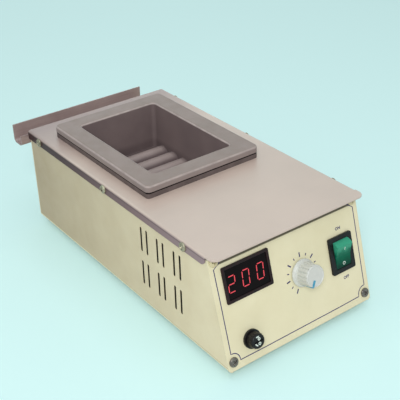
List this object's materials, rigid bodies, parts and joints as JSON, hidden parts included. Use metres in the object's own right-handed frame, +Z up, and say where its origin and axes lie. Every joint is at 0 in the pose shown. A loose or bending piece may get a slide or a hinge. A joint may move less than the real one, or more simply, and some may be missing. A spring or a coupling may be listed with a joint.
{
  "type": "solder pot",
  "caption": "Benchtop solder pot: long sheet steel case with a rectangular cast crucible in the top, a display, heat knob, rocker switch and fuse on its sloping front, and a dross trough behind.",
  "frame": {"origin": "on the bench, under the middle of the case's plan", "axes": "+X to the right of a person facing the controls, +Y from the front panel to the rear, +Z up; the front panel faces -Y and leans back"},
  "size_m": [0.1715, 0.3364, 0.1162],
  "materials": {
    "cream_paint": "cream semi-gloss powder coat",
    "cover_steel": "satin stainless sheet",
    "trough_steel": "satin stainless sheet",
    "cast": "grey cast iron with a smooth rim",
    "collar": "dark pressed mineral board",
    "fibre": "white ceramic fibre felt",
    "zinc_sheet": "bright zinc plated sheet",
    "heater_metal": "stainless sheath",
    "black_plastic": "black moulded plastic",
    "lens": "dark red window",
    "display_parts": "black display modules on their board",
    "knob_plastic": "white moulded plastic",
    "rocker_green": "translucent green plastic",
    "board_green": "green circuit board",
    "brass_parts": "plain brass",
    "chrome_screws": "bright plated",
    "dark_screws": "dark plated steel",
    "foot_rubber": "black rubber",
    "heatsink_alu": "black anodised",
    "transformer_iron": "taped windings on an iron core",
    "fuse_glass": "clear glass with metal ends"
  },
  "bodies": {
    "case": {"chassis": "cream_paint", "front_panel": "cream_paint", "rear_panel": "cream_paint", "top_cover": "cover_steel", "crucible": "cast", "rim_collar": "collar", "heater_1": "heater_metal", "heater_2": "heater_metal", "heater_3": "heater_metal", "heater_4": "heater_metal", "heater_5": "heater_metal", "heater_6": "heater_metal", "temperature_probe": "heater_metal", "fibre_jacket": "fibre", "heat_shield": "zinc_sheet", "shield_bracket_front": "zinc_sheet", "shield_bracket_rear": "zinc_sheet", "display_bezel": "black_plastic", "display_lens": "lens", "display_board": "display_parts", "regulator_body": "brass_parts", "regulator_nut": "chrome_screws", "switch_housing": "black_plastic", "switch_tabs": "brass_parts", "fuse_holder": "black_plastic", "fuse_nut": "black_plastic", "control_board": "board_green", "board_pillars": "brass_parts", "board_transformer": "transformer_iron", "triac_heatsink": "heatsink_alu", "board_terminals": "board_green", "power_inlet": "black_plastic", "inlet_pins": "chrome_screws", "inlet_screws": "chrome_screws", "earth_stud": "chrome_screws", "foot_front_left": "foot_rubber", "foot_front_right": "foot_rubber", "foot_rear_left": "foot_rubber", "foot_rear_right": "foot_rubber", "foot_screws": "chrome_screws", "cover_screws": "chrome_screws", "front_panel_screws": "dark_screws", "rear_panel_screws": "dark_screws", "trough_rail": "zinc_sheet", "rail_screws": "chrome_screws"},
    "knob": {"regulator_shaft": "heater_metal", "heat_knob": "knob_plastic"},
    "rocker": {"switch_rocker": "rocker_green"},
    "fuse_carrier": {"fuse_cap": "black_plastic", "glass_fuse": "fuse_glass"},
    "trough": {"dross_trough": "trough_steel"}
  },
  "joints": [
    {"name": "heat_knob_turn", "type": "hinge", "parent": "case", "child": "knob", "pos_m": [0.0095, -0.14135, 0.05742], "axis": [0, 0.9603, -0.279], "range_deg": [0, 270]},
    {"name": "power_rocker", "type": "hinge", "parent": "case", "child": "rocker", "pos_m": [0.0535, -0.1385, 0.05721], "axis": [-1, 0, 0], "range_deg": [0, 30]},
    {"name": "fuse_cap_twist", "type": "hinge", "parent": "case", "child": "fuse_carrier", "pos_m": [-0.0524, -0.15269, 0.02666], "axis": [0, -0.9603, 0.279], "range_deg": [0, 90]},
    {"name": "trough_slide", "type": "slide", "parent": "case", "child": "trough", "axis": [1, 0, 0], "range_m": [-0.004, 0.03]}
  ]
}
